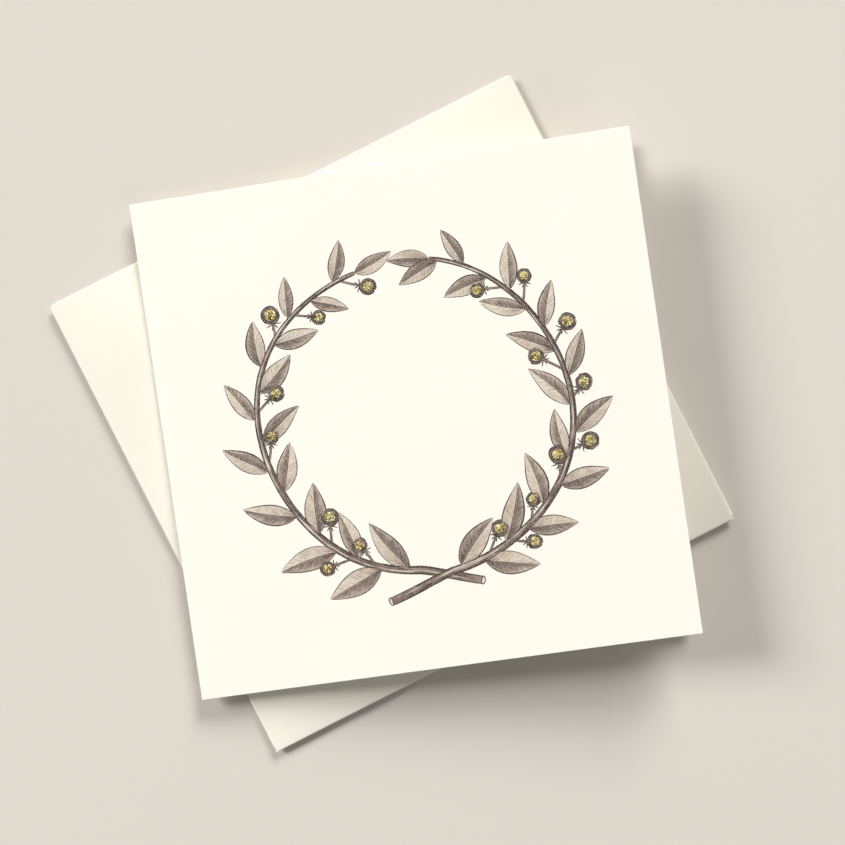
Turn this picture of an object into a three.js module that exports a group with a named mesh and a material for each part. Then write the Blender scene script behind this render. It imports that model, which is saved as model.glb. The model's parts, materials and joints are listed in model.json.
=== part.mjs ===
// A square greeting card, folded once, lying turned on its own unsealed envelope.
// The card is one sheet of board creased down its left side: the back leaf lies flat and
// the front leaf stands ajar. The envelope is one sheet of paper: a front panel facing up,
// with two side flaps and a bottom flap folded under it to make a shallow pocket, and a
// pointed top flap folded shut under them all. Millimetres, +Z up, origin on the table
// under the middle of the envelope, X and Y along the card's edges.

import * as THREE from 'three';

// The card
const cardSide = 150;
const boardThick = 0.4;
const cardCentreX = 5.9;
const cardCentreY = -1.9;
const restAjar = 5; // degrees between the leaves as the card lies
const spineInset = 0.3; // from the crease line to each leaf

// The envelope
const envelopeWide = 156;
const envelopeTall = 151;
const envelopeTurn = 18.6; // degrees, anticlockwise from the card
const paperThick = 0.2;
const pocketDepth = 1.4; // takes the closed card
const mouthInset = 0.25; // from the envelope's top edge to the panel and the top flap

// Sheets that lie on each other keep this apart
const layerGap = 0.3;

// Flaps: each is a V with a shoulder at both ends of its base and a rounded tip
const shoulderIn = 2;
const shoulderOut = 5;
const shoulderRound = 6;
const topFlap = { halfBase: 77, depth: 92, tipRound: 14 };
const bottomFlap = { halfBase: 77.5, depth: 88, tipRound: 10 };
const sideFlap = { halfBase: 74, depth: 74.5, tipRound: 7 };
const arcSteps = 8;

// Heights of the undersides, stacked up from the table
const topFlapZ = 0;
const bottomFlapZ = topFlapZ + paperThick + layerGap;
const sideFlapZ = bottomFlapZ + paperThick + layerGap;
const pocketZ = sideFlapZ + paperThick;
const panelZ = pocketZ + pocketDepth;
const backLeafZ = panelZ + paperThick + layerGap;
const creaseZ = backLeafZ + boardThick + layerGap / 2;

const ivoryBoard = new THREE.MeshStandardMaterial({ color: 0xfdfbef, roughness: 0.82, metalness: 0 });
const ivoryPaper = new THREE.MeshStandardMaterial({ color: 0xfcf8ea, roughness: 0.88, metalness: 0 });

// A closed outline through the corners, each {x, y, round}, with an arc where round is set
function roundedOutline(corners) {
  const shape = new THREE.Shape();
  corners.forEach((corner, i) => {
    const here = new THREE.Vector2(corner.x, corner.y);
    const before = corners[(i + corners.length - 1) % corners.length];
    const after = corners[(i + 1) % corners.length];
    const back = new THREE.Vector2(before.x, before.y).sub(here).normalize();
    const on = new THREE.Vector2(after.x, after.y).sub(here).normalize();
    if (!corner.round) {
      if (i === 0) shape.moveTo(here.x, here.y);
      else shape.lineTo(here.x, here.y);
      return;
    }
    const halfAngle = Math.acos(back.dot(on)) / 2;
    const run = corner.round / Math.tan(halfAngle);
    const centre = here.clone().addScaledVector(
      back.clone().add(on).normalize(), corner.round / Math.sin(halfAngle));
    const start = here.clone().addScaledVector(back, run).sub(centre);
    const end = here.clone().addScaledVector(on, run).sub(centre);
    const clockwise = back.cross(on) > 0;
    shape.lineTo(centre.x + start.x, centre.y + start.y);
    shape.absarc(centre.x, centre.y, corner.round, start.angle(), end.angle(), clockwise);
  });
  shape.closePath();
  return shape;
}

// A flap that grows along +Y from a base on the X axis
function flapOutline({ halfBase, depth, tipRound }) {
  return roundedOutline([
    { x: -halfBase, y: 0 },
    { x: halfBase, y: 0 },
    { x: halfBase - shoulderIn, y: shoulderOut, round: shoulderRound },
    { x: 0, y: depth, round: tipRound },
    { x: -halfBase + shoulderIn, y: shoulderOut, round: shoulderRound },
  ]);
}

function rectangle(left, bottom, right, top) {
  return roundedOutline([
    { x: left, y: bottom }, { x: right, y: bottom }, { x: right, y: top }, { x: left, y: top },
  ]);
}

// A flat sheet of the outline's shape, with its underside at height z
function sheet(name, outline, thick, z, material) {
  const geometry = new THREE.ExtrudeGeometry(
    outline, { depth: thick, bevelEnabled: false, curveSegments: arcSteps });
  const mesh = new THREE.Mesh(geometry, material);
  mesh.name = name;
  mesh.position.z = z;
  return mesh;
}

// A flap sheet set on one side of the envelope, growing inwards from it
function flapSheet(name, flap, z, edgeX, edgeY, turn) {
  const mesh = sheet(name, flapOutline(flap), paperThick, z, ivoryPaper);
  mesh.position.x = edgeX;
  mesh.position.y = edgeY;
  mesh.rotation.z = THREE.MathUtils.degToRad(turn);
  return mesh;
}

function makeEnvelope() {
  const halfWide = envelopeWide / 2;
  const halfTall = envelopeTall / 2;
  const mouthY = halfTall - mouthInset;
  const envelope = new THREE.Group();
  envelope.add(sheet('envelope_front_panel',
    rectangle(-halfWide, -halfTall, halfWide, mouthY), paperThick, panelZ, ivoryPaper));
  envelope.add(flapSheet('envelope_left_flap', sideFlap, sideFlapZ, -halfWide, 0, -90));
  envelope.add(flapSheet('envelope_right_flap', sideFlap, sideFlapZ, halfWide, 0, 90));
  envelope.add(flapSheet('envelope_bottom_flap', bottomFlap, bottomFlapZ, 0, -halfTall, 0));
  envelope.add(flapSheet('envelope_top_flap', topFlap, topFlapZ, 0, mouthY, 180));

  // The folded edges: the paper's turn from the panel down to each flap
  const sideFoldZ = sideFlapZ + paperThick + layerGap;
  const sideFoldHigh = panelZ - layerGap - sideFoldZ;
  const sideEnd = sideFlap.halfBase;
  envelope.add(sheet('envelope_left_fold',
    rectangle(-halfWide, -sideEnd, -halfWide + paperThick, sideEnd), sideFoldHigh, sideFoldZ, ivoryPaper));
  envelope.add(sheet('envelope_right_fold',
    rectangle(halfWide - paperThick, -sideEnd, halfWide, sideEnd), sideFoldHigh, sideFoldZ, ivoryPaper));
  const bottomFoldZ = bottomFlapZ + paperThick + layerGap;
  const bottomFoldHigh = panelZ - layerGap - bottomFoldZ;
  const bottomEnd = bottomFlap.halfBase - shoulderIn;
  envelope.add(sheet('envelope_bottom_fold',
    rectangle(-bottomEnd, -halfTall, bottomEnd, -halfTall + paperThick), bottomFoldHigh, bottomFoldZ, ivoryPaper));
  envelope.rotation.z = THREE.MathUtils.degToRad(envelopeTurn);
  return envelope;
}

function makeCard() {
  const halfSide = cardSide / 2;
  const card = new THREE.Group();
  const leaf = rectangle(spineInset, -halfSide, cardSide, halfSide);
  card.add(sheet('card_back_leaf', leaf, boardThick, backLeafZ - creaseZ, ivoryBoard));

  // The front leaf turns about the crease line, which runs along Y through this group's origin
  const frontHinge = new THREE.Group();
  frontHinge.rotation.y = -THREE.MathUtils.degToRad(restAjar);
  frontHinge.add(sheet('card_front_leaf', leaf, boardThick, layerGap / 2, ivoryBoard));
  card.add(frontHinge);
  card.position.set(cardCentreX - halfSide, cardCentreY, creaseZ);
  return card;
}

const cardAndEnvelope = new THREE.Group();
cardAndEnvelope.add(makeEnvelope());
cardAndEnvelope.add(makeCard());

export default cardAndEnvelope;
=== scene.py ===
import json
import math
import random
from itertools import groupby

import bmesh
import bpy
from mathutils import Matrix, Vector, noise

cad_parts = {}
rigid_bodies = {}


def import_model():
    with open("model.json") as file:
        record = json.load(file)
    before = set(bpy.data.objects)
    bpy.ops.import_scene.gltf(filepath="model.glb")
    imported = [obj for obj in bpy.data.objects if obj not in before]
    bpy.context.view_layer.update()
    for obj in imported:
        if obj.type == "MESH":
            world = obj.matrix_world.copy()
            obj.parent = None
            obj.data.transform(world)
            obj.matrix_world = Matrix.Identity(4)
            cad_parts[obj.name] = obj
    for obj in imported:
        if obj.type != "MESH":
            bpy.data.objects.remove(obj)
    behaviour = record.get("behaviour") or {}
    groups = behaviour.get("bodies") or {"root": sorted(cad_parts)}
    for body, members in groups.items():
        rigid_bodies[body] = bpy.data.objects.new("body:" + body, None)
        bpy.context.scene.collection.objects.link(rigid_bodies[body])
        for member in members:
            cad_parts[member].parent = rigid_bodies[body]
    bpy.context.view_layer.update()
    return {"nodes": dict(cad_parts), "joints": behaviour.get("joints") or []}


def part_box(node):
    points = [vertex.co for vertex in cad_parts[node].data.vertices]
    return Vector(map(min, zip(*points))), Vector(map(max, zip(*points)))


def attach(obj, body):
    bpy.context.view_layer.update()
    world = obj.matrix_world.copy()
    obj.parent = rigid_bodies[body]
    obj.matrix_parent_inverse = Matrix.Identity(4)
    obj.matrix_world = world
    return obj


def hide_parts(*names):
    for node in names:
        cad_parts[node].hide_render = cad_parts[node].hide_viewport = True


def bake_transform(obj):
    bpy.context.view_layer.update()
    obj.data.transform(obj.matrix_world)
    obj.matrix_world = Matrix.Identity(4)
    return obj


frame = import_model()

mm = 0.001
tiny = 1e-6

# What the frame says: two creases, three bodies
joints = {joint["name"]: joint for joint in frame["joints"]}
cardFold, flapFold = joints["card_fold"], joints["flap_fold"]
baseBody, frontBody, flapBody = cardFold["parent"], cardFold["child"], flapFold["child"]
creaseX, creaseY, creaseZ = cardFold["pos_m"]
ajar = math.radians(-cardFold["range_deg"][0])
envelopeTurn = math.atan2(flapFold["axis"][1], flapFold["axis"][0])
envelopeSpin = Matrix.Rotation(envelopeTurn, 4, "Z")
mouthCreaseY = Vector(flapFold["pos_m"][:2]).length
mouthCreaseZ = flapFold["pos_m"][2]


# Small hand tools

def deselectAll():
    if bpy.context.object and bpy.context.object.mode != "OBJECT":
        bpy.ops.object.mode_set(mode="OBJECT")
    bpy.ops.object.select_all(action="DESELECT")


def workOn(piece):
    deselectAll()
    piece.select_set(True)
    bpy.context.view_layer.objects.active = piece


def addGrid(name, low, high, z, across, up):
    # a flat grid between two corners
    deselectAll()
    bpy.ops.mesh.primitive_grid_add(
        x_subdivisions=across, y_subdivisions=up, size=1,
        location=((low[0] + high[0]) / 2, (low[1] + high[1]) / 2, z))
    piece = bpy.context.object
    piece.name = piece.data.name = name
    piece.scale = (high[0] - low[0], high[1] - low[1], 1)
    bpy.ops.object.transform_apply(location=True, rotation=True, scale=True)
    return piece


def pick(piece, kind, test):
    # in edit mode, selects the edges or faces whose corners all pass the test
    bpy.ops.mesh.select_mode(type=kind)
    bpy.ops.mesh.select_all(action="DESELECT")
    mesh = bmesh.from_edit_mesh(piece.data)
    for part in (mesh.faces if kind == "FACE" else mesh.edges):
        if all(test(corner.co) for corner in part.verts):
            part.select_set(True)
    bmesh.update_edit_mesh(piece.data)


def drawOut(step):
    # pulls the selected edges out into one more row of paper
    bpy.ops.mesh.extrude_region_move(TRANSFORM_OT_translate={"value": tuple(step)})


def useModifier(piece, kind, **settings):
    workOn(piece)
    modifier = piece.modifiers.new(kind.title(), kind)
    for key, value in settings.items():
        setattr(modifier, key, value)
    bpy.ops.object.modifier_apply(modifier=modifier.name)


def mendFaces(piece, merge=True):
    # doubles merged and all faces turned the same way
    workOn(piece)
    bpy.ops.object.mode_set(mode="EDIT")
    bpy.ops.mesh.select_all(action="SELECT")
    if merge:
        bpy.ops.mesh.remove_doubles(threshold=tiny)
    bpy.ops.mesh.normals_make_consistent(inside=False)
    bpy.ops.object.mode_set(mode="OBJECT")


def closeUp(piece, softBelow, merge=True):
    # a finished shell, shaded softly where faces meet at less than this many degrees
    mendFaces(piece, merge)
    bpy.ops.object.shade_smooth_by_angle(angle=math.radians(softBelow))


def joinUp(name, parts):
    deselectAll()
    for part in parts:
        part.select_set(True)
    bpy.context.view_layer.objects.active = parts[0]
    bpy.ops.object.join()
    piece = bpy.context.object
    piece.name = piece.data.name = name
    return piece


def copyOf(piece):
    # a copy with a mesh of its own
    copy = piece.copy()
    copy.data = piece.data.copy()
    bpy.context.scene.collection.objects.link(copy)
    return copy


def smoothStep(t):
    # from 0 to 1, slow at both ends
    t = min(max(t, 0.0), 1.0)
    return t * t * (3 - 2 * t)


def easeOut(t):
    # from 0 to 1, quick at first and level at the end
    return 1 - (1 - min(max(t, 0), 1)) ** 2


# Shader maths as plain expressions

class Wire:
    def __init__(self, tree, socket):
        self.tree = tree
        self.socket = socket

    def add(self, kind, settings=None, values=None, out=0):
        # any node: its settings first, then the values or wires of its sockets
        node = self.tree.nodes.new(kind)
        for key, value in (settings or {}).items():
            if key == "stops":
                for spare in range(len(value) - 2):
                    node.color_ramp.elements.new(0.5)
                for element, (place, shade) in zip(node.color_ramp.elements, value):
                    element.position = place
                    element.color = shade
            else:
                setattr(node, key, value)
        for key, value in (values or {}).items():
            if isinstance(value, Wire):
                self.tree.links.new(value.socket, node.inputs[key])
            else:
                node.inputs[key].default_value = value
        return Wire(self.tree, node.outputs[out])

    def maths(self, operation, first, second):
        return self.add("ShaderNodeMath", {"operation": operation}, {0: first, 1: second})

    def __add__(self, other):
        return self.maths("ADD", self, other)

    def __radd__(self, other):
        return self.maths("ADD", other, self)

    def __sub__(self, other):
        return self.maths("SUBTRACT", self, other)

    def __rsub__(self, other):
        return self.maths("SUBTRACT", other, self)

    def __mul__(self, other):
        return self.maths("MULTIPLY", self, other)

    def __rmul__(self, other):
        return self.maths("MULTIPLY", other, self)


def newFinish(name):
    # an empty material, its principled shader and its object coordinates
    material = bpy.data.materials.new(name)
    material.use_nodes = True
    tree = material.node_tree
    shader = tree.nodes["Principled BSDF"]
    place = Wire(tree, tree.nodes.new("ShaderNodeTexCoord").outputs["Object"])
    return material, shader, place


def speckle(place, size, detail=3.0, roughness=0.5, stretch=None):
    # smooth noise from 0 to 1 whose blotches are about this many metres across
    if stretch:
        place = place.add("ShaderNodeMapping", {}, {"Vector": place, "Scale": stretch})
    return place.add("ShaderNodeTexNoise", {"noise_dimensions": "3D"},
                     {"Vector": place, "Scale": 1 / size, "Detail": detail, "Roughness": roughness})


def tint(factor, first, second):
    # a colour between two colours
    return factor.add("ShaderNodeMix", {"data_type": "RGBA", "clamp_factor": True},
                      {0: factor, 6: first, 7: second}, out=2)


def between(value, low, high):
    # 0 below low, 1 above high, smooth in between
    return value.add("ShaderNodeMapRange", {"interpolation_type": "SMOOTHSTEP"},
                     {"Value": value, "From Min": low, "From Max": high})


def raised(height, distance):
    # a bump whose full height is this many metres
    return height.add("ShaderNodeBump", {}, {"Height": height, "Distance": distance})


def plug(wire, shader, socket):
    wire.tree.links.new(wire.socket, shader.inputs[socket])


def setSockets(node, values):
    for socket, value in values.items():
        node.inputs[socket].default_value = value


def colour(red, green, blue):
    # a colour as a screen shows it, 0 to 255, with full alpha
    def straight(level):
        share = level / 255
        return share / 12.92 if share <= 0.04045 else ((share + 0.055) / 1.055) ** 2.4
    return (straight(red), straight(green), straight(blue), 1.0)


def endFinish(material, shader, look, body, rough, relief=None):
    # the end of every finish: colour, roughness, relief and constant sockets
    low, high = look["roughness"]
    plug(body, shader, "Base Color")
    plug(rough * (high - low) + low, shader, "Roughness")
    if relief is not None:
        plug(raised(relief, look["relief"]), shader, "Normal")
    setSockets(shader, look["sockets"])
    return material


# Board and paper

boardLook = {
    "ivory": colour(245, 242, 231), "shade": colour(242, 238, 225), "fleckTone": colour(238, 229, 205),
    "cloud": 38 * mm, "tooth": 0.55 * mm, "fibre": 0.16 * mm, "fibreStretch": (1, 0.35, 1),
    "fleck": 0.9 * mm, "fleckFrom": (0.70, 0.78), "fleckShare": 0.25,
    "relief": 0.012 * mm, "roughness": (0.72, 0.86), "sockets": {"Specular IOR Level": 0.25},
}


def finishBoard():
    material, shader, place = newFinish("ivory_board")
    look = boardLook
    cloud = speckle(place, look["cloud"], 4)
    tooth = speckle(place, look["tooth"], 2, 0.6)
    fibre = speckle(place, look["fibre"], 3, 0.7, look["fibreStretch"])
    fleck = between(speckle(place, look["fleck"], 1), *look["fleckFrom"])
    body = tint(cloud * 0.7 + tooth * 0.3, look["ivory"], look["shade"])
    flecked = tint(fleck * look["fleckShare"], body, look["fleckTone"])
    return endFinish(material, shader, look, flecked, tooth, tooth * 0.6 + fibre * 0.4)


edgeLook = {
    "pale": colour(250, 246, 233), "deep": colour(232, 225, 206),
    "layers": 0.12 * mm, "layerStretch": (0.15, 0.15, 1.6), "nap": 0.08 * mm,
    "relief": 0.03 * mm, "roughness": (0.85, 0.95), "sockets": {"Specular IOR Level": 0.15},
}


def finishCutEdge():
    # a guillotined edge: loose fibres in layers along the sheet
    material, shader, place = newFinish("cut_board_edge")
    look = edgeLook
    layers = speckle(place, look["layers"], 3, 0.7, look["layerStretch"])
    nap = speckle(place, look["nap"], 2, 0.6)
    body = tint(layers, look["pale"], look["deep"])
    return endFinish(material, shader, look, body, nap, layers * 0.7 + nap * 0.3)


paperLook = {
    "ivory": colour(244, 240, 226), "shade": colour(239, 234, 218),
    "formation": 5 * mm, "cloud": 45 * mm, "grain": 0.30 * mm,
    "relief": 0.007 * mm, "roughness": (0.78, 0.90), "sockets": {"Specular IOR Level": 0.2},
}


def finishPaper():
    material, shader, place = newFinish("envelope_wove")
    look = paperLook
    formation = speckle(place, look["formation"], 5, 0.6)
    cloud = speckle(place, look["cloud"], 3)
    grain = speckle(place, look["grain"], 3, 0.65)
    body = tint(formation * 0.55 + cloud * 0.45, look["ivory"], look["shade"])
    return endFinish(material, shader, look, body, grain, grain * 0.7 + formation * 0.3)


gumLook = {
    "pale": colour(240, 232, 206), "deep": colour(229, 217, 183),
    "film": 2.2 * mm, "brush": 0.7 * mm, "brushStretch": (0.12, 1, 1),
    "relief": 0.01 * mm, "roughness": (0.22, 0.44),
    "sockets": {"Coat Weight": 0.35, "Coat Roughness": 0.18},
}


def finishGum():
    # dried gum: a thin brushed film, a little yellow and glossy
    material, shader, place = newFinish("dried_gum")
    look = gumLook
    film = speckle(place, look["film"], 4, 0.6)
    brushed = speckle(place, look["brush"], 2, 0.5, look["brushStretch"])
    body = tint(film, look["pale"], look["deep"])
    return endFinish(material, shader, look, body, brushed, brushed * 0.5 + film * 0.5)


# The card: one sheet of board, flat, round its crease and out again

card = {
    "cells": 50, "creaseSteps": 12, "softBelow": 18,
    "edgeRound": 0.05 * mm, "edgeSteps": 2, "edgeAbove": 60,
    "cockle": 0.09 * mm, "cockleSpan": 60 * mm, "cockleFrom": 15 * mm, "cockleSlice": 4.2,
    "backCockle": 0.5,
}
backLow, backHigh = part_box("card_back_leaf")
boardThick = backHigh.z - backLow.z
leafMidZ = (backLow.z + backHigh.z) / 2
creaseRound = creaseZ - leafMidZ
foldCentre = Vector((backLow.x, 0, creaseZ))
leafLong = backHigh.x - backLow.x
leafTall = backHigh.y - backLow.y
leafMiddle = leafLong - leafTall / 2
leafAlong = Vector((math.cos(ajar), 0, math.sin(ajar)))
leafUp = Vector((-math.sin(ajar), 0, math.cos(ajar)))


def cockle(t, y, sunk=0.0):
    # the slight waviness of a board leaf, none at its crease; sunk by 1 it only dips
    span = card["cockleSpan"]
    wave = noise.noise(Vector((t / span, y / span, card["cockleSlice"])))
    return card["cockle"] * (wave - sunk) * smoothStep(t / card["cockleFrom"])


def onFrontLeaf(u, v, height):
    # a point of the printed face: u and v from the middle of the card, height above the board
    t = u + leafMiddle
    y = v + creaseY
    lift = creaseRound + boardThick / 2 + cockle(t, y) + height
    point = foldCentre + leafAlong * t + leafUp * lift
    return Vector((point.x, y, point.z))


def foldCard(board, cutEdge):
    piece = addGrid("card_sheet", backLow, backHigh, leafMidZ, card["cells"], card["cells"])
    workOn(piece)
    bpy.ops.object.mode_set(mode="EDIT")
    pick(piece, "EDGE", lambda co: co.x < backLow.x + tiny)
    bpy.ops.mesh.spin(steps=card["creaseSteps"], angle=math.pi - ajar,
                      center=foldCentre, axis=(0, -1, 0))
    for row in range(card["cells"]):
        drawOut(leafAlong * (leafLong / card["cells"]))
    bpy.ops.object.mode_set(mode="OBJECT")
    for corner in piece.data.vertices:
        fromFold = corner.co - foldCentre
        if corner.co.z > creaseZ:
            t = fromFold.dot(leafAlong)
            corner.co += leafUp * cockle(max(t, 0), corner.co.y)
        else:
            corner.co.z += cockle(max(fromFold.x, 0), corner.co.y, 1.0) * card["backCockle"]
    mendFaces(piece)
    useModifier(piece, "SOLIDIFY", thickness=boardThick, offset=0, use_even_offset=True,
                material_offset_rim=1)
    piece.data.materials.append(board)
    piece.data.materials.append(cutEdge)
    useModifier(piece, "BEVEL", width=card["edgeRound"], segments=card["edgeSteps"],
                limit_method="ANGLE", angle_limit=math.radians(card["edgeAbove"]))
    closeUp(piece, card["softBelow"])
    2 * creaseZ - backHigh.z
    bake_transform(piece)
    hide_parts("card_back_leaf", "card_front_leaf")
    print("card folded:", len(piece.data.polygons), "faces")


# The envelope, modelled square to the axes and then turned to its place

def squareBox(node):
    # a node's box in the envelope's own unturned axes
    back = envelopeSpin.inverted()
    corners = [back @ corner.co for corner in frame["nodes"][node].data.vertices]
    low = Vector([min(corner[axis] for corner in corners) for axis in range(3)])
    high = Vector([max(corner[axis] for corner in corners) for axis in range(3)])
    return low, high


panelLow, panelHigh = squareBox("envelope_front_panel")
envelope = {
    "cell": 2 * mm, "foldRound": 0.25 * mm, "foldSteps": 8,
    "creaseRow": 0.5 * mm, "creaseRows": 8, "pillowReach": 28 * mm, "flapReach": 4 * mm,
    "seam": 0.05 * mm, "lipShare": 0.8, "cornerCell": 1 * mm, "cornerOut": 0.3 * mm,
    "shoulderIn": 2 * mm, "shoulderOut": 5 * mm, "shoulderRound": 6 * mm,
    "arcSteps": 6, "softBelow": 30, "paper": panelHigh.z - panelLow.z,
}
sideFlap = {"halfBase": 74.4 * mm, "depth": 74.5 * mm, "tipRound": 7 * mm}
flaps = {
    "left": {**sideFlap, "node": "envelope_left_flap", "turn": -90},
    "right": {**sideFlap, "node": "envelope_right_flap", "turn": 90},
    "bottom": {"node": "envelope_bottom_flap", "halfBase": 77.5 * mm, "depth": 88 * mm,
               "tipRound": 10 * mm, "turn": 0},
    "top": {"node": "envelope_top_flap", "halfBase": 77 * mm, "depth": 92 * mm,
            "tipRound": 14 * mm, "turn": 180},
}
foldTopZ = mouthCreaseZ + envelope["foldRound"]
foldLowZ = mouthCreaseZ - envelope["foldRound"]
foldInset = envelope["foldRound"] + envelope["paper"] / 2
foldX = panelHigh.x - foldInset
foldY = -panelLow.y - foldInset
mouthY = mouthCreaseY - envelope["foldRound"]
foldPlaces = {
    "left": Vector((-foldX, 0, 0)), "right": Vector((foldX, 0, 0)),
    "bottom": Vector((0, -foldY, 0)), "top": Vector((0, mouthY, 0)),
}


def roundedOutline(corners, steps):
    # corners are (x, y, round), anticlockwise; a round corner becomes an arc
    points = []
    for i, (x, y, rounding) in enumerate(corners):
        here = Vector((x, y))
        if not rounding:
            points.append(here)
            continue
        back = (Vector(corners[i - 1][:2]) - here).normalized()
        on = (Vector(corners[(i + 1) % len(corners)][:2]) - here).normalized()
        half = back.angle(on) / 2
        centre = here + (back + on).normalized() * (rounding / math.sin(half))
        start = here + back * (rounding / math.tan(half)) - centre
        sweep = math.pi - 2 * half
        for step in range(steps + 1):
            arm = start.copy()
            arm.rotate(Matrix.Rotation(sweep * step / steps, 2))
            points.append(centre + arm)
    return points


def flapOutline(flap, inset=0.0, tipInset=0.0):
    # a V on its base, with shoulders and a rounded tip
    halfBase, depth = flap["halfBase"] - inset, flap["depth"] - tipInset
    inward, outward = envelope["shoulderIn"], envelope["shoulderOut"]
    rounding = envelope["shoulderRound"]
    return roundedOutline([
        (-halfBase, 0, 0), (halfBase, 0, 0), (halfBase - inward, outward, rounding),
        (0, depth, flap["tipRound"]), (-halfBase + inward, outward, rounding),
    ], envelope["arcSteps"])


def trimTo(piece, outline, placed, test):
    # cuts the faces that pass the test back to a convex outline, one straight cut a side
    for first, second in zip(outline, outline[1:] + outline[:1]):
        along = second - first
        if along.length < tiny or first.y < tiny and second.y < tiny:
            continue
        outward = placed.to_3x3() @ Vector((along.y, -along.x, 0)).normalized()
        pick(piece, "FACE", test)
        bpy.ops.mesh.bisect(plane_co=placed @ first.to_3d(), plane_no=outward, clear_outer=True)


def growFlap(piece, name):
    # folds one edge of a sheet round and under, draws the flap out and trims it
    flap = flaps[name]
    turned = Matrix.Rotation(math.radians(flap["turn"]), 4, "Z")
    inward = turned @ Vector((0, 1, 0))
    across = Vector((-inward.y, inward.x, 0))
    edge = foldPlaces[name]
    pick(piece, "EDGE", lambda co: abs((co - edge).dot(inward)) < tiny
         and abs((co - edge).dot(across)) < flap["halfBase"] and abs(co.z - foldTopZ) < tiny)
    bpy.ops.mesh.spin(steps=envelope["foldSteps"], angle=math.pi,
                      center=edge + Vector((0, 0, mouthCreaseZ)), axis=across)
    # short rows where the paper leaves its fold, then longer ones to past the tip
    fine = envelope["creaseRow"] * envelope["creaseRows"]
    coarse = math.ceil((flap["depth"] - fine) / envelope["cell"])
    for row in [envelope["creaseRow"]] * envelope["creaseRows"] + [envelope["cell"]] * coarse:
        drawOut(inward * row)
    placed = Matrix.Translation(edge) @ turned
    trimTo(piece, flapOutline(flap), placed, lambda co: abs(co.z - foldLowZ) < tiny)
    # the flap then sinks from its fold to its own level
    drop = foldLowZ - (squareBox(flap["node"])[0].z + envelope["paper"] / 2)
    mesh = bmesh.from_edit_mesh(piece.data)
    for corner in mesh.verts:
        if abs(corner.co.z - foldLowZ) < tiny:
            corner.co.z -= drop * easeOut((corner.co - edge).dot(inward) / envelope["flapReach"])
    bmesh.update_edit_mesh(piece.data)


def makePocket(paper):
    # the front panel with its two side flaps and its bottom flap folded under
    across = round(2 * foldX / envelope["cell"])
    up = round((foldY + mouthY) / envelope["cell"])
    low, high = Vector((-foldX, -foldY)), Vector((foldX, mouthY - envelope["seam"]))
    piece = addGrid("envelope_pocket_sheet", low, high, foldTopZ, across, up)
    workOn(piece)
    bpy.ops.object.mode_set(mode="EDIT")
    # one more cut near each edge, so that the folds run almost into the corners
    for corner, inward in ((low, 1), (high, -1)):
        for axis in (Vector((1, 0)), Vector((0, 1))):
            bpy.ops.mesh.select_all(action="SELECT")
            cut = corner + axis * inward * envelope["cornerCell"]
            bpy.ops.mesh.bisect(plane_co=cut.to_3d(), plane_no=axis.to_3d())
    for name in ("left", "right", "bottom"):
        growFlap(piece, name)
    bpy.ops.object.mode_set(mode="OBJECT")
    # the front panel swells from its folded edges, as over a shallow pocket
    rise = (panelLow.z + panelHigh.z) / 2 - foldTopZ
    for corner in piece.data.vertices:
        if corner.co.z > foldTopZ - tiny:
            sides = (foldX - abs(corner.co.x), mouthY - corner.co.y, corner.co.y + foldY)
            share = 1.0
            for side in (sides[0], min(sides[1], sides[2])):
                share *= easeOut(side / envelope["pillowReach"])
            corner.co.z += rise * share
            # its corners run out level with the folded edges
            if sides[0] < tiny and min(sides[1] - envelope["seam"], sides[2]) < tiny:
                corner.co.x += math.copysign(envelope["cornerOut"], corner.co.x)
                corner.co.y -= envelope["cornerOut"] if sides[2] < tiny else 0
    finishSheet(piece, paper)
    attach(piece, baseBody)
    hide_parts("envelope_front_panel", "envelope_left_flap", "envelope_right_flap",
                "envelope_bottom_flap", "envelope_left_fold", "envelope_right_fold",
                "envelope_bottom_fold")
    print("pocket folded:", len(piece.data.polygons), "faces")


def makeTopFlap(paper):
    # the top flap with the crease that joins it to the panel
    half = flaps["top"]["halfBase"]
    lip = envelope["seam"] * envelope["lipShare"]
    low, high = Vector((-half + tiny, mouthY - lip)), Vector((half - tiny, mouthY))
    across = round(2 * half / envelope["cell"])
    piece = addGrid("envelope_top_flap_sheet", low, high, foldTopZ, across, 1)
    workOn(piece)
    bpy.ops.object.mode_set(mode="EDIT")
    growFlap(piece, "top")
    bpy.ops.object.mode_set(mode="OBJECT")
    finishSheet(piece, paper)
    fold = Vector(flapFold["pos_m"])
    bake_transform(piece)
    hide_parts("envelope_top_flap")
    print("top flap folded:", len(piece.data.polygons), "faces")


def finishSheet(piece, paper):
    # gives a folded sheet its thickness and turns it to the envelope's place
    mendFaces(piece)
    useModifier(piece, "SOLIDIFY", thickness=envelope["paper"], offset=0, use_even_offset=True)
    piece.data.transform(envelopeSpin)
    piece.data.materials.append(paper)
    closeUp(piece, envelope["softBelow"])


gum = {
    "blank": 308 * mm, "inset": 3 * mm, "tipInset": 4.2 * mm, "wide": 11 * mm,
    "clearOfFold": 9 * mm, "thick": 0.03 * mm,
}


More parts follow.
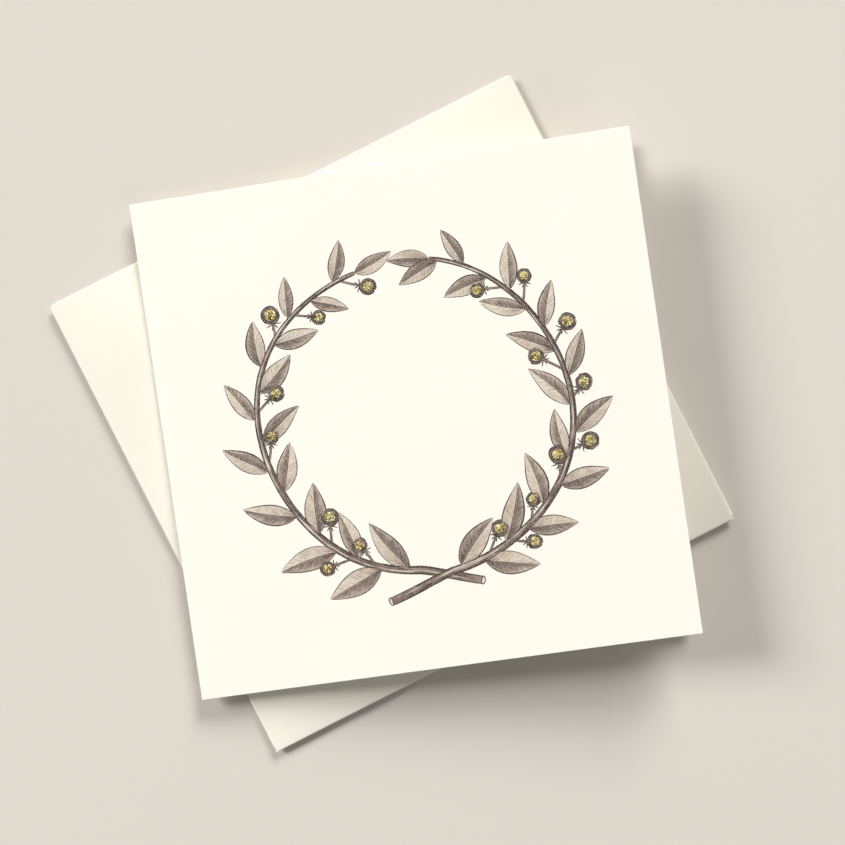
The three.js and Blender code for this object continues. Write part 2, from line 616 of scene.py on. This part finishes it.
def brushGum(finish):
    # a band of gum along the V of the top flap's inner face
    flap = flaps["top"]
    deselectAll()
    bpy.ops.mesh.primitive_plane_add(size=gum["blank"], location=(0, 0, 0))
    piece = bpy.context.object
    piece.name = piece.data.name = "gum_band"
    bpy.ops.object.mode_set(mode="EDIT")
    anywhere = lambda co: True
    outline = flapOutline(flap, gum["inset"], gum["tipInset"])
    trimTo(piece, outline, Matrix.Identity(4), anywhere)
    pick(piece, "FACE", anywhere)
    bpy.ops.mesh.inset(thickness=gum["wide"], use_even_offset=True)
    bpy.ops.mesh.delete(type="FACE")
    pick(piece, "FACE", anywhere)
    foldSide = (0, gum["clearOfFold"], 0)
    bpy.ops.mesh.bisect(plane_co=foldSide, plane_no=(0, -1, 0), clear_outer=True)
    bpy.ops.object.mode_set(mode="OBJECT")
    useModifier(piece, "SOLIDIFY", thickness=gum["thick"], offset=0)
    face = squareBox(flap["node"])[1].z + gum["thick"] / 2
    piece.data.transform(envelopeSpin @ Matrix.Translation(foldPlaces["top"] + Vector((0, 0, face)))
                         @ Matrix.Rotation(math.pi, 4, "Z"))
    piece.data.materials.append(finish)
    closeUp(piece, envelope["softBelow"])
    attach(piece, flapBody)
    print("gum brushed:", len(piece.data.polygons), "faces")


# The print: a wreath of two leafy twigs in pencil line work, in millimetres from the card's middle

pencilLook = {
    "drift": 3.5 * mm, "grain": 0.14 * mm, "wander": (0.32, 0.68), "coverSoft": 0.08,
    "bareShare": 0.85, "roughness": (0.6, 0.75), "sockets": {"Specular IOR Level": 0.2},
}


def finishPencil(name, dark, light, cover):
    # pencil on board: the tone wanders along a stroke, and the paper's tooth shows through
    material, shader, place = newFinish(name)
    look = pencilLook
    drift = speckle(place, look["drift"], 3, 0.6)
    grain = speckle(place, look["grain"], 2, 0.7)
    tone = tint(between(drift, *look["wander"]), dark, light)
    bare = between(grain, cover - look["coverSoft"], cover + look["coverSoft"])
    body = tint(bare * look["bareShare"], tone, boardLook["ivory"])
    return endFinish(material, shader, look, body, grain)


washLook = {
    "stops": [(0.28, colour(219, 205, 186)), (0.46, colour(184, 166, 147)),
              (0.64, colour(128, 108, 94)), (0.88, colour(80, 63, 56))],
    "drift": 2.4 * mm, "grain": 0.16 * mm, "shadeFrom": (-0.12, 0.2), "shadeReach": 1.3,
    "bareFrom": (0.50, 0.66), "bareShare": 0.55,
    "roughness": (0.65, 0.8), "sockets": {"Specular IOR Level": 0.2},
}


def finishWash():
    # the soft ground tone of a leaf, darker at its base and along its midrib
    material, shader, place = newFinish("wash_tone")
    look = washLook
    spot = place.add("ShaderNodeAttribute", {"attribute_name": "leafSpot"}, out="Vector")
    parts = spot.add("ShaderNodeSeparateXYZ", {}, {0: spot})
    along, aside, luck = (Wire(parts.tree, part) for part in parts.socket.node.outputs)
    drift = speckle(place, look["drift"], 4, 0.65)
    grain = speckle(place, look["grain"], 2, 0.7)
    shaded = between(aside, *look["shadeFrom"]) * (look["shadeReach"] - aside)
    depth = drift * 0.45 + (1 - along) * 0.2 + shaded * 0.3 + luck * 0.12
    tone = place.add("ShaderNodeValToRGB", {"stops": look["stops"]}, {0: depth})
    bare = between(grain, *look["bareFrom"])
    body = tint(bare * look["bareShare"], tone, boardLook["ivory"])
    return endFinish(material, shader, look, body, grain)


goldLook = {
    "stops": [(0.12, colour(70, 48, 18)), (0.32, colour(184, 148, 46)),
              (0.52, colour(238, 214, 98)), (0.8, colour(255, 250, 194))],
    "cell": 0.42 * mm, "roughness": (0.18, 0.43), "sockets": {"Metallic": 0.45},
}


def finishGold():
    # each crumb catches its own tone, from pale gold to burnt umber
    material, shader, place = newFinish("gold_crumb")
    look = goldLook
    cells = place.add("ShaderNodeTexVoronoi", {"feature": "F1"},
                      {"Vector": place, "Scale": 1 / look["cell"]}, out="Color")
    luck = place.add("ShaderNodeSeparateXYZ", {}, {0: cells})
    body = place.add("ShaderNodeValToRGB", {"stops": look["stops"]}, {0: luck})
    return endFinish(material, shader, look, body, luck)


wreath = {
    "radius": 46.5, "seed": 11, "leafEvery": 0.0545, "leafLong": 17.5, "leafHalf": 3.35,
    "stemHalf": (1.25, 0.5), "berryRound": 2.6, "goldShare": 0.64, "mendScale": 100,
    "softBelow": 80,
}
chance = random.Random(wreath["seed"])

# angles in degrees; places along a twig run from 0 at its cut end to 1 at its tip
twig = {
    "foot": -90, "start": -15, "sweep": 181, "tail": 0.12, "tailOut": 7.5, "tailCurve": 1.6,
    "apart": 0.9, "waves": 3, "waveRate": 3.1, "ripple": 0.55,
}


def towards(angle):
    return Vector((math.cos(angle), math.sin(angle)))


def twigPath(side):
    # side 1 climbs on the right and -1 on the left; the two tails cross at the foot
    wobble = [chance.uniform(-1, 1) for wave in range(twig["waves"])]

    def path(t):
        angle = math.radians(twig["foot"] + side * (twig["start"] + twig["sweep"] * t))
        tail = max(0.0, twig["tail"] - t) / twig["tail"]
        ripple = sum(swing * math.sin((i + 2) * twig["waveRate"] * t + i)
                     for i, swing in enumerate(wobble)) * twig["ripple"]
        radius = (wreath["radius"] + ripple + side * twig["apart"] * (1 - t)
                  + twig["tailOut"] * tail ** twig["tailCurve"])
        return towards(angle) * radius
    return path


def headingOf(path, t):
    step = 0.004
    return (path(min(t + step, 1)) - path(max(t - step, 0))).normalized()


def leftOf(direction):
    return Vector((-direction.y, direction.x))


# how a stroke's width swells from its ends
stroke = {"pressFrom": 0.06, "pressSpan": 0.88, "lightest": 0.05}


def strokeOn(path, start, end, half, steps=6, taper=0.5, aside=None):
    # points (u, v, half width) along a path; aside shifts the stroke to the left of it
    points = []
    for step in range(steps + 1):
        share = step / steps
        t = start + (end - start) * share
        middle = path(t)
        if aside is not None:
            middle = middle + leftOf(headingOf(path, t)) * aside(t)
        swell = math.sin(math.pi * (stroke["pressFrom"] + stroke["pressSpan"] * share))
        points.append((middle.x, middle.y, half * max(swell, stroke["lightest"]) ** taper))
    return points


leafForm = {
    "halves": (0.9, 1.1), "bend": 0.28, "bendShare": 0.6, "belly": 0.82, "fullness": 0.95,
}


class Leaf:
    # one pointed leaf: a bent midrib and a width along it
    def __init__(self, root, heading, size):
        self.root = root
        self.heading = heading
        self.long = wreath["leafLong"] * size
        self.half = wreath["leafHalf"] * size * chance.uniform(*leafForm["halves"])
        self.bend = chance.uniform(-leafForm["bend"], leafForm["bend"])
        self.shadeSide = chance.choice((-1, 1))
        self.luck = chance.random()

    def midrib(self, t):
        return (self.root + self.heading * (self.long * t)
                + leftOf(self.heading) * (self.long * self.bend * t * t * leafForm["bendShare"]))

    def width(self, t):
        swell = math.sin(math.pi * min(max(t, 0), 1) ** leafForm["belly"])
        return self.half * swell ** leafForm["fullness"]

    def spot(self, t, s):
        # t from stalk to tip, s from -1 at the right margin to 1 at the left
        return self.midrib(t) + leftOf(headingOf(self.midrib, t)) * (s * self.width(t))


growth = {
    "leavesFrom": 0.135, "leavesUntil": 0.985, "footSize": 1.06, "sizeLost": 0.36,
    "sizes": (0.9, 1.08), "leafLean": (34, 50), "rootOut": 0.6, "spacing": (0.88, 1.1),
    "tipLeaf": 0.72, "berryShare": 0.62, "berryLean": (30, 62), "berryAhead": 0.012,
    "stalks": (6.0, 9.5), "berrySizes": (0.82, 1.1),
}


def leaning(heading, lean):
    # a direction turned anticlockwise by this many radians
    aim = heading.copy()
    aim.rotate(Matrix.Rotation(lean, 2))
    return aim


def planWreath():
    # where every stem, leaf and berry goes
    stems, leaves, berries = [], [], []
    for side in (1, -1):
        path = twigPath(side)
        stems.append(path)
        t = growth["leavesFrom"]
        turn = side
        while t < growth["leavesUntil"]:
            heading = headingOf(path, t)
            size = (growth["footSize"] - growth["sizeLost"] * t) * chance.uniform(*growth["sizes"])
            aim = leaning(heading, math.radians(chance.uniform(*growth["leafLean"])) * turn)
            root = path(t) + leftOf(heading) * (turn * growth["rootOut"])
            leaves.append(Leaf(root, aim, size))
            if chance.random() < growth["berryShare"]:
                # a berry on its own stalk on the other side of the twig
                aim = leaning(heading, -math.radians(chance.uniform(*growth["berryLean"])) * turn)
                start = path(t + growth["berryAhead"])
                long = chance.uniform(*growth["stalks"])
                berries.append((start, aim, long, chance.uniform(*growth["berrySizes"])))
            t += wreath["leafEvery"] * chance.uniform(*growth["spacing"])
            turn = -turn
        leaves.append(Leaf(path(1), headingOf(path, 1), growth["tipLeaf"]))
    return stems, leaves, berries


def stemHalf(t):
    wide, narrow = wreath["stemHalf"]
    return wide + (narrow - wide) * t


# the upper twig is sampled from its cut end to past the place where the twigs cross
crossing = {"samples": 400, "until": 52, "cover": 0.95, "parts": 8}


def showBeside(line, over):
    # what shows of a stroke on either side of the twig that crosses over it
    if not over:
        return [line]
    parts = crossing["parts"]
    fine = [Vector(first).lerp(Vector(second), part / parts)
            for first, second in zip(line, line[1:]) for part in range(parts)]
    places = [number / crossing["samples"] for number in range(crossing["until"])]
    spots = [(over(t), stemHalf(t) * crossing["cover"]) for t in places]
    hidden = lambda point: any((point.xy - spot).length < half for spot, half in spots)
    if not any(hidden(point) for point in fine):
        return [line]
    runs = [list(run) for covered, run in groupby(fine, hidden) if not covered]
    return [run for run in runs if len(run) > 1]


stemLines = {
    "groundSteps": 60, "margins": ((-1, 0.3), (1, 0.2)), "marginsUntil": 0.97, "marginAt": 0.9,
    "marginRun": (0.05, 0.13), "marginPress": (0.8, 1.15), "marginOn": (0.6, 0.85),
    "lines": 150, "linesUntil": 0.93, "lanes": (-0.75, 0.75), "litLanes": (-0.1, 0.5),
    "litShare": 0.75, "lineRun": (0.02, 0.07), "lineHalf": (0.08, 0.15),
    "endDeep": 0.55, "endWide": 1.2, "paleWide": 0.9, "paleHalf": (0.3, 0.5), "rimHalf": 0.17,
}


def drawStems(stems, sheets):
    look = stemLines
    over = None
    for path in stems:
        steps = look["groundSteps"]
        sheets["ground"].append(
            [(*path(step / steps), stemHalf(step / steps)) for step in range(steps + 1)])
        for edge, press in look["margins"]:
            t = 0.0
            while t < look["marginsUntil"]:
                run = chance.uniform(*look["marginRun"])
                half = press * chance.uniform(*look["marginPress"])
                sheets["dark"] += showBeside(strokeOn(
                    path, t, min(t + run, 1), half, 9, 0.35,
                    lambda t, edge=edge: edge * stemHalf(t) * look["marginAt"]), over)
                t += run * chance.uniform(*look["marginOn"])
        low, high = look["litLanes"]
        for line in range(look["lines"]):
            t = chance.uniform(0, look["linesUntil"])
            lane = chance.uniform(*look["lanes"])
            lit = low < lane < high and chance.random() < look["litShare"]
            end = t + chance.uniform(*look["lineRun"])
            sheets["light" if lit else "dark"] += showBeside(strokeOn(
                path, t, end, chance.uniform(*look["lineHalf"]), 6, 0.6,
                lambda t, lane=lane: lane * stemHalf(t)), over)
        # the cut end: a pale slanting face with a dark rim
        centre, heading = path(0), headingOf(path, 0)
        aside = leftOf(heading)
        face = lambda t: centre + (heading * look["endDeep"] * math.cos(t * math.tau)
                                   + aside * look["endWide"] * math.sin(t * math.tau))
        outer, middle = look["paleHalf"]
        sheets["light"].append([(*(centre - aside * look["paleWide"]), outer), (*centre, middle),
                                (*(centre + aside * look["paleWide"]), outer)])
        sheets["dark"].append(strokeOn(face, 0, 1, look["rimHalf"], 16, 0.1))
        over = path


# close is the shaded half of a leaf and open its lit half
leafLines = {
    "marginPasses": 2, "marginStart": (0, 0.08), "marginEnd": (0.9, 1), "marginAt": (0.94, 1.02),
    "marginHalf": (0.13, 0.18), "closeMargin": 1.35, "openMargin": 0.95,
    "veins": 8, "veinFrom": 0.08, "veinEvery": 0.1, "veinJitter": 0.012, "veinReach": (0.8, 0.97),
    "veinSweep": 0.17, "veinCurve": 0.85, "veinShorter": 0.35, "veinHalf": 0.1,
    "closeLines": 34, "openLines": 12, "linesUntil": 0.86, "innerShare": 0.6,
    "innerFrom": (0.02, 0.12), "outerFrom": (0.3, 0.6), "lineReach": (0.25, 0.6), "lineMost": 0.98,
    "lineSweep": 0.13, "lineShorter": 0.3, "lineHalf": (0.07, 0.12), "darkShare": 0.5,
    "lightShare": 0.4, "ribHalf": 0.2, "glintHalf": 0.11, "glintAside": 0.2,
    "touches": 8, "touchSpread": 0.6, "touchFrom": 0.01, "touchEnd": (0.14, 0.3), "touchHalf": 0.09,
}


def drawLeaf(leaf, sheets):
    look = leafLines
    for s in (-1, 1):
        close = s == leaf.shadeSide
        # the margin, gone over twice
        for again in range(look["marginPasses"]):
            start, end = chance.uniform(*look["marginStart"]), chance.uniform(*look["marginEnd"])
            path = lambda t, s=s, at=chance.uniform(*look["marginAt"]): leaf.spot(t, s * at)
            half = chance.uniform(*look["marginHalf"]) * look["closeMargin" if close else "openMargin"]
            sheets["dark"].append(strokeOn(path, start, end, half, 12, 0.45))
        # side veins sweep from the midrib to the margin
        for vein in range(look["veins"]):
            jitter = chance.uniform(-look["veinJitter"], look["veinJitter"])
            t = look["veinFrom"] + look["veinEvery"] * vein + jitter
            reach = chance.uniform(*look["veinReach"])
            path = lambda q, t=t, s=s, reach=reach: leaf.spot(
                t + look["veinSweep"] * q ** look["veinCurve"] * (1 - look["veinShorter"] * t),
                s * reach * q)
            sheets["dark" if close else "middle"].append(
                strokeOn(path, 0, 1, look["veinHalf"], 6, 0.6))
        # hatching, close on the shaded half and sparse on the lit one
        for line in range(look["closeLines" if close else "openLines"]):
            t = chance.uniform(0.0, look["linesUntil"])
            begin = "innerFrom" if chance.random() < look["innerShare"] else "outerFrom"
            inner = chance.uniform(*look[begin])
            outer = min(inner + chance.uniform(*look["lineReach"]), look["lineMost"])
            path = lambda q, t=t, s=s, inner=inner, outer=outer: leaf.spot(
                t + look["lineSweep"] * q * (1 - look["lineShorter"] * t),
                s * (inner + (outer - inner) * q))
            if close:
                sheet = "dark" if chance.random() < look["darkShare"] else "middle"
            else:
                sheet = "light" if chance.random() < look["lightShare"] else "middle"
            sheets[sheet].append(strokeOn(path, 0, 1, chance.uniform(*look["lineHalf"]), 4, 0.7))
    # the midrib, dark on one side and light along its top
    sheets["dark"].append(strokeOn(leaf.midrib, -0.08, 0.98, look["ribHalf"], 12, 0.7))
    sheets["light"].append(strokeOn(
        leaf.midrib, 0.03, 0.85, look["glintHalf"], 10, 0.6,
        lambda t: -look["glintAside"] * leaf.shadeSide))
    # short dark touches where the leaf leaves its stalk
    for touch in range(look["touches"]):
        s = chance.uniform(-look["touchSpread"], look["touchSpread"])
        path = lambda t, s=s: leaf.spot(t, s)
        sheets["dark"].append(strokeOn(
            path, look["touchFrom"], chance.uniform(*look["touchEnd"]), look["touchHalf"], 4, 0.8))


# a stalk's edges are (where they start, half width, how far to the left of its middle)
berryLines = {
    "bend": 0.16, "stalkHalf": 0.34, "stalkUntil": 0.96,
    "edges": ((0, 0.13, 0.26), (0.02, 0.09, -0.28)), "edgesUntil": 0.97,
    "rimAt": 0.78, "rimHalf": 0.19, "rimSteps": 24,
    "arcs": 66, "arcSpan": (0.4, 1.2), "arcAt": (0.6, 1.0), "arcHalf": (0.12, 0.19),
    "sepals": (-0.85, -0.3, 0.3, 0.85), "sepalTurn": 1.3, "sepalAt": 0.95, "sepalLong": 0.95,
    "sepalBack": 0.25, "sepalHalf": 0.2,
}


def drawBerry(start, aim, long, size, sheets):
    look = berryLines
    bend = chance.uniform(-look["bend"], look["bend"])
    path = lambda t: start + aim * (long * t) + leftOf(aim) * (long * bend * t * t)
    sheets["ground"].append(strokeOn(path, 0, look["stalkUntil"], look["stalkHalf"], 8, 0.2))
    for begin, half, aside in look["edges"]:
        sheets["dark"].append(strokeOn(
            path, begin, look["edgesUntil"], half, 8, 0.3, lambda t, aside=aside: aside))
    centre = path(1)
    radius = wreath["berryRound"] * size
    # a round berry: a toned rim, gone over again and again in short dark arcs
    rim = lambda t: centre + towards(t * math.tau) * radius * look["rimAt"]
    sheets["middle"].append(strokeOn(rim, 0, 1, radius * look["rimHalf"], look["rimSteps"], 0))
    for arc in range(look["arcs"]):
        at = chance.uniform(0, math.tau)
        span = chance.uniform(*look["arcSpan"])
        ring = radius * chance.uniform(*look["arcAt"])
        circle = lambda t, at=at, span=span, ring=ring: centre + towards(at + span * t) * ring
        sheets["dark"].append(strokeOn(circle, 0, 1, chance.uniform(*look["arcHalf"]), 6, 0.5))
    # a little cup of sepals under the berry
    back = -headingOf(path, 1)
    foot = centre + back * radius * look["sepalAt"]
    for sepal in look["sepals"]:
        tip = leaning(back, sepal * look["sepalTurn"]) - back * look["sepalBack"]
        blade = lambda t, tip=tip: foot + tip * (radius * look["sepalLong"] * t)
        sheets["dark"].append(strokeOn(blade, 0, 1, look["sepalHalf"], 4, 0.8))
    return centre, radius * wreath["goldShare"]


# a stroke's sides lie level with the board and its lower edge a little under its face
sliver = {"below": 0.4, "level": 5 * tiny}


def layStrokes(name, strokes, height, finish):
    # every stroke is a thin closed sliver standing a hair above the board
    curve = bpy.data.curves.new(name, "CURVE")
    curve.dimensions = "3D"
    curve.bevel_depth = mm
    curve.bevel_resolution = 0
    curve.use_fill_caps = True
    for line in strokes:
        spline = curve.splines.new("POLY")
        spline.points.add(len(line) - 1)
        for point, (u, v, half) in zip(spline.points, line):
            point.co = (u * mm, v * mm, 0, 1)
            point.radius = half
    piece = bpy.data.objects.new(name, curve)
    bpy.context.scene.collection.objects.link(piece)
    workOn(piece)
    bpy.ops.object.convert(target="MESH")
    piece = bpy.context.object
    piece.data.materials.clear()
    # the end caps are merged on while enlarged, so that strokes that all but touch stay apart
    piece.data.transform(Matrix.Scale(wreath["mendScale"], 4))
    mendFaces(piece)
    piece.data.transform(Matrix.Scale(1 / wreath["mendScale"], 4))
    for corner in piece.data.vertices:
        u, v, z = corner.co
        level = 0.0
        if z > sliver["level"]:
            level = height
        elif z < -sliver["level"]:
            level = -sliver["below"] * height
        corner.co = onFrontLeaf(u, v, level)
    finishPrint(piece, finish)


def finishPrint(piece, finish):
    # nothing is merged here, because each stroke and leaf is closed already
    piece.data.materials.append(finish)
    closeUp(piece, wreath["softBelow"], merge=False)
    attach(piece, frontBody)
    print(piece.name, "laid:", len(piece.data.polygons), "faces")


# lift and liftStep in millimetres: leaves that overlap lie one above the other
wash = {
    "along": 14, "across": 6, "lift": 0.004, "liftStep": 0.0004, "lifts": 7, "within": 0.98,
    "thick": 0.012 * mm,
}


def layWashes(leaves, finish):
    # one leaf blank is cut, then copied and bent to every leaf of the wreath
    blank = addGrid("leaf_blank", (0, -1), (1, 1), 0, wash["along"], wash["across"])
    copies = []
    for number, leaf in enumerate(leaves):
        copy = copyOf(blank)
        spots = copy.data.attributes.new("leafSpot", "FLOAT_VECTOR", "POINT")
        level = (wash["lift"] + wash["liftStep"] * (number % wash["lifts"])) * mm
        for corner, spot in zip(copy.data.vertices, spots.data):
            t, s = corner.co.x, corner.co.y
            place = leaf.spot(t, s * wash["within"])
            spot.vector = (t, s * leaf.shadeSide, leaf.luck)
            corner.co = (place.x * mm, place.y * mm, level)
        copies.append(copy)
    bpy.data.objects.remove(blank)
    piece = joinUp("wreath_leaf_wash", copies)
    mendFaces(piece)
    useModifier(piece, "SOLIDIFY", thickness=wash["thick"], offset=0)
    for corner in piece.data.vertices:
        corner.co = onFrontLeaf(*corner.co)
    finishPrint(piece, finish)


# size in millimetres, low and crown in metres; turn is the golden angle in radians
crumbHeap = {
    "count": 64, "size": 0.46, "seed": 5, "spread": 0.93, "turn": 2.39996, "sizes": (0.65, 1.2),
    "low": 0.08 * mm, "crown": 0.16 * mm, "flatAcross": (0.7, 1), "flatUp": (0.4, 0.7),
}


def scatterGold(berries, finish):
    # one heap of crumbs is made, then copied and turned for every berry
    crumbs = []
    look = crumbHeap
    heap = random.Random(look["seed"])
    pileRound = wreath["berryRound"] * wreath["goldShare"]
    for number in range(look["count"]):
        away = math.sqrt((number + 0.5) / look["count"]) * look["spread"]
        spot = towards(number * look["turn"]) * (away * pileRound * mm)
        size = look["size"] * heap.uniform(*look["sizes"]) * mm
        deselectAll()
        bpy.ops.mesh.primitive_ico_sphere_add(
            subdivisions=1, radius=size / 2,
            location=(spot.x, spot.y, look["low"] + look["crown"] * (1 - away * away)),
            rotation=[heap.uniform(0, math.tau) for axis in range(3)])
        crumb = bpy.context.object
        crumb.scale = (1, heap.uniform(*look["flatAcross"]), heap.uniform(*look["flatUp"]))
        bpy.ops.object.transform_apply(location=True, rotation=True, scale=True)
        crumbs.append(crumb)
    pile = joinUp("crumb_heap", crumbs)
    copies = []
    for centre, radius in berries:
        copy = copyOf(pile)
        copy.data.transform(
            Matrix.Translation((centre.x * mm, centre.y * mm, 0))
            @ Matrix.Rotation(chance.uniform(0, math.tau), 4, "Z")
            @ Matrix.Scale(radius / pileRound, 4))
        copies.append(copy)
    bpy.data.objects.remove(pile)
    piece = joinUp("gold_crumbs", copies)
    for corner in piece.data.vertices:
        corner.co = onFrontLeaf(*corner.co)
    piece.data.materials.append(finish)
    workOn(piece)
    bpy.ops.object.shade_flat()
    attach(piece, frontBody)
    print("gold laid:", len(piece.data.polygons), "faces")


# each pencil: its piece, its sheet of strokes, its height, its finish, dark and light tone, cover
pencils = (
    ("wreath_stem_ground", "ground", 0.012 * mm,
     "stem_ground_tone", colour(106, 89, 81), colour(152, 133, 120), 0.64),
    ("wreath_middle_strokes", "middle", 0.018 * mm,
     "middle_pencil", colour(94, 77, 69), colour(130, 110, 97), 0.60),
    ("wreath_dark_strokes", "dark", 0.022 * mm,
     "dark_pencil", colour(48, 36, 33), colour(74, 59, 53), 0.64),
    ("wreath_light_strokes", "light", 0.026 * mm,
     "light_pencil", colour(206, 187, 168), colour(230, 216, 198), 0.56),
)


def printWreath():
    stems, leaves, berries = planWreath()
    sheets = {"ground": [], "middle": [], "dark": [], "light": []}
    drawStems(stems, sheets)
    for leaf in leaves:
        drawLeaf(leaf, sheets)
    golden = [drawBerry(*berry, sheets) for berry in berries]
    layWashes(leaves, finishWash())
    for name, sheet, height, finish, dark, light, cover in pencils:
        layStrokes(name, sheets[sheet], height, finishPencil(finish, dark, light, cover))
    scatterGold(golden, finishGold())


# The stage

floorLook = {
    "side": 2.4, "below": 0.05 * mm, "drift": 0.4, "tone": colour(217, 211, 201),
    "shade": colour(214, 208, 198), "sockets": {"Roughness": 0.9, "Specular IOR Level": 0.1},
}


def layFloor():
    # a hair under the part
    deselectAll()
    bpy.ops.mesh.primitive_plane_add(size=floorLook["side"], location=(0, 0, -floorLook["below"]))
    floor = bpy.context.object
    floor.name = "pale_floor"
    material, shader, place = newFinish("pale_floor")
    drift = speckle(place, floorLook["drift"], 2)
    plug(tint(drift, floorLook["tone"], floorLook["shade"]), shader, "Base Color")
    setSockets(shader, floorLook["sockets"])
    floor.data.materials.append(material)
    print("floor laid")


# around is anticlockwise from the card's own right, up is above the table, in degrees
lights = {
    "left": {"around": 148, "up": 27, "away": 12, "size": 4.4, "watts": 1420},
    "back": {"around": 66, "up": 25, "away": 12, "size": 4.8, "watts": 1450},
    "front": {"around": 292, "up": 30, "away": 12, "size": 6.4, "watts": 200},
}
worldLook = {"Color": (1.0, 0.995, 0.985, 1), "Strength": 0.18}


def hangLights():
    # round lamps that face the part, and an even world
    for name, light in lights.items():
        around, up = math.radians(light["around"]), math.radians(light["up"])
        place = light["away"] * Vector((
            math.cos(around) * math.cos(up), math.sin(around) * math.cos(up), math.sin(up)))
        deselectAll()
        bpy.ops.object.light_add(type="AREA", location=place)
        lamp = bpy.context.object
        lamp.name = name + "_softbox"
        lamp.rotation_euler = (-place).to_track_quat("-Z", "Y").to_euler()
        lamp.data.shape = "DISK"
        lamp.data.size = light["size"]
        lamp.data.energy = light["watts"]
    world = bpy.data.worlds.new("plain_room")
    bpy.context.scene.world = world
    world.use_nodes = True
    setSockets(world.node_tree.nodes["Background"], worldLook)
    print("lights hung")


# the tilt in degrees, the lens and the sensor in millimetres, the rest in metres
camera = {
    "place": (0.31 * mm, -1.76 * mm, 420 * mm), "tilt": (-0.159, -1.12, -8.31),
    "lens": 58.89, "sensor": 36, "near": 0.01,
}


def setCamera():
    # straight above, turned as the photograph is
    bpy.ops.object.camera_add(location=camera["place"],
                              rotation=[math.radians(angle) for angle in camera["tilt"]])
    view = bpy.context.object
    view.data.lens = camera["lens"]
    view.data.sensor_width = camera["sensor"]
    view.data.clip_start = camera["near"]
    bpy.context.scene.camera = view


bpy.context.scene.view_settings.view_transform = "Standard"
setCamera()
layFloor()
hangLights()
foldCard(finishBoard(), finishCutEdge())
ivoryPaper = finishPaper()
makePocket(ivoryPaper)
makeTopFlap(ivoryPaper)
brushGum(finishGum())
printWreath()

deselectAll()
